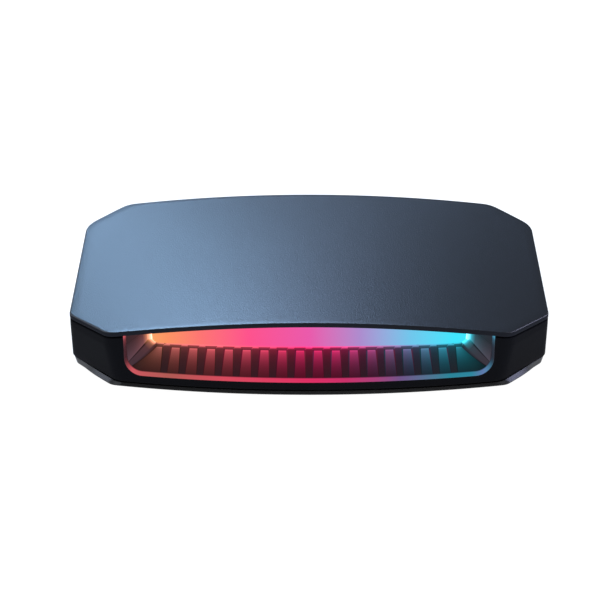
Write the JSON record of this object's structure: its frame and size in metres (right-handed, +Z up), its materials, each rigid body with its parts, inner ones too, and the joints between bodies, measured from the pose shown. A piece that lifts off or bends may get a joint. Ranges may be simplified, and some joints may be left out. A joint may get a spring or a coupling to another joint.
{
  "type": "video capture box",
  "caption": "Wedge-shaped desktop box with an arched cover, cut corners, a bowed front with a lit, ribbed recess, and a rear row of video, data and audio ports.",
  "frame": {"origin": "on the table, under the middle of the box", "axes": "+X to the right seen from the front, +Z up, the lit front faces -Y and the ports face +Y"},
  "size_m": [0.12, 0.07, 0.0276],
  "materials": {
    "cover_satin": "satin, fine moulded grain",
    "case_black": "matte, fine spark-eroded grain",
    "foot_rubber": "matte",
    "screw_steel": "zinc plated",
    "trim_light": "clear tinted, lit from behind",
    "well_grey": "satin",
    "diffuser_milk": "milky, lit from behind",
    "board_green": "solder mask",
    "led_resin": "clear resin",
    "socket_ivory": "satin",
    "ribbon_white": "film",
    "chip_black": "moulded epoxy",
    "pad_blue": "soft silicone",
    "sink_aluminium": "extruded, bare",
    "pin_nylon": "natural nylon",
    "coil_ferrite": "ferrite",
    "can_aluminium": "drawn can",
    "port_steel": "nickel plated",
    "tongue_black": "moulded",
    "contact_gold": "gold plated",
    "jack_black": "moulded"
  },
  "bodies": {
    "root": {"top_cover": "cover_satin", "body_shell": "case_black", "bottom_cover": "case_black", "rubber_feet": "foot_rubber", "case_screws": "screw_steel", "led_board_screws": "screw_steel", "well_screws": "screw_steel", "board_screws": "screw_steel", "light_trim": "trim_light", "light_well": "well_grey", "light_diffuser": "diffuser_milk", "led_board": "board_green", "main_board": "board_green", "leds": "led_resin", "led_socket": "socket_ivory", "board_socket": "socket_ivory", "ribbon_cable": "ribbon_white", "video_processor": "chip_black", "usb_controller": "chip_black", "video_repeaters": "chip_black", "memory_chips": "chip_black", "audio_chip": "chip_black", "thermal_pad": "pad_blue", "heat_sink": "sink_aluminium", "heat_sink_pins": "pin_nylon", "power_coils": "coil_ferrite", "capacitors": "can_aluminium", "crystal": "can_aluminium", "video_in_shell": "port_steel", "video_out_shell": "port_steel", "data_port_shell": "port_steel", "video_in_tongue": "tongue_black", "video_out_tongue": "tongue_black", "data_port_tongue": "tongue_black", "video_in_contacts": "contact_gold", "video_out_contacts": "contact_gold", "data_port_contacts": "contact_gold", "headset_jack": "jack_black", "controller_jack": "jack_black"}
  },
  "joints": []
}
